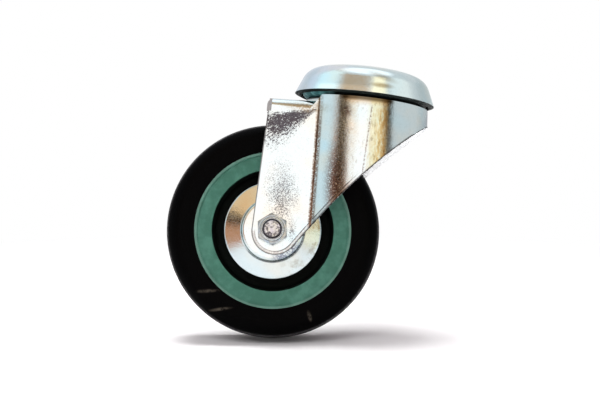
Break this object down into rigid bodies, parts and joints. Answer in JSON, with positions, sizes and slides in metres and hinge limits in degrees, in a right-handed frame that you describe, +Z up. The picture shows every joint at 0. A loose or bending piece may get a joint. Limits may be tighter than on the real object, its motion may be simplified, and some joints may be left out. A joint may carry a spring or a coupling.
{
  "type": "bolt hole swivel caster",
  "caption": "Bolt hole swivel caster: domed ball-race head on a stamped zinc-plated fork, with a black rubber tyred wheel on a green plastic core.",
  "frame": {"origin": "middle of the mounting face, where the swivel axis and the bolt hole leave the top of the domed cap", "axes": "+Z up along the bolt hole and swivel axis, +X towards the front of the crown with the wheel trailing to -X, -Y the nut side of the axle"},
  "size_m": [0.1192, 0.0664, 0.1308],
  "materials": {
    "zinc_plate": "bright zinc plating with a faint yellow cast",
    "bearing_steel": "ground hardened steel",
    "core_plastic": "grey-green moulded plastic, satin",
    "tyre_rubber": "black rubber, lightly scuffed",
    "cage_plastic": "dark moulded plastic",
    "insert_nylon": "off-white nylon"
  },
  "bodies": {
    "head": {"top_cap": "zinc_plate", "upper_race": "bearing_steel", "kingpin": "zinc_plate", "lower_race": "bearing_steel", "upper_balls": "bearing_steel", "lower_balls": "bearing_steel"},
    "fork_body": {"fork": "zinc_plate", "bearing_cup": "zinc_plate", "axle_bolt": "zinc_plate", "axle_nut": "zinc_plate", "nut_insert": "insert_nylon", "axle_sleeve": "bearing_steel", "thread_guard_near": "zinc_plate", "thread_guard_far": "zinc_plate"},
    "wheel": {"wheel_core": "core_plastic", "tyre": "tyre_rubber", "roller_cage": "cage_plastic", "bearing_rollers": "bearing_steel"}
  },
  "joints": [
    {"name": "swivel", "type": "hinge", "parent": "head", "child": "fork_body", "pos_m": [0, 0, -0.0161], "axis": [0, 0, 1], "continuous": true},
    {"name": "wheel_spin", "type": "hinge", "parent": "fork_body", "child": "wheel", "pos_m": [-0.036, 0, -0.0808], "axis": [0, 1, 0], "continuous": true}
  ]
}
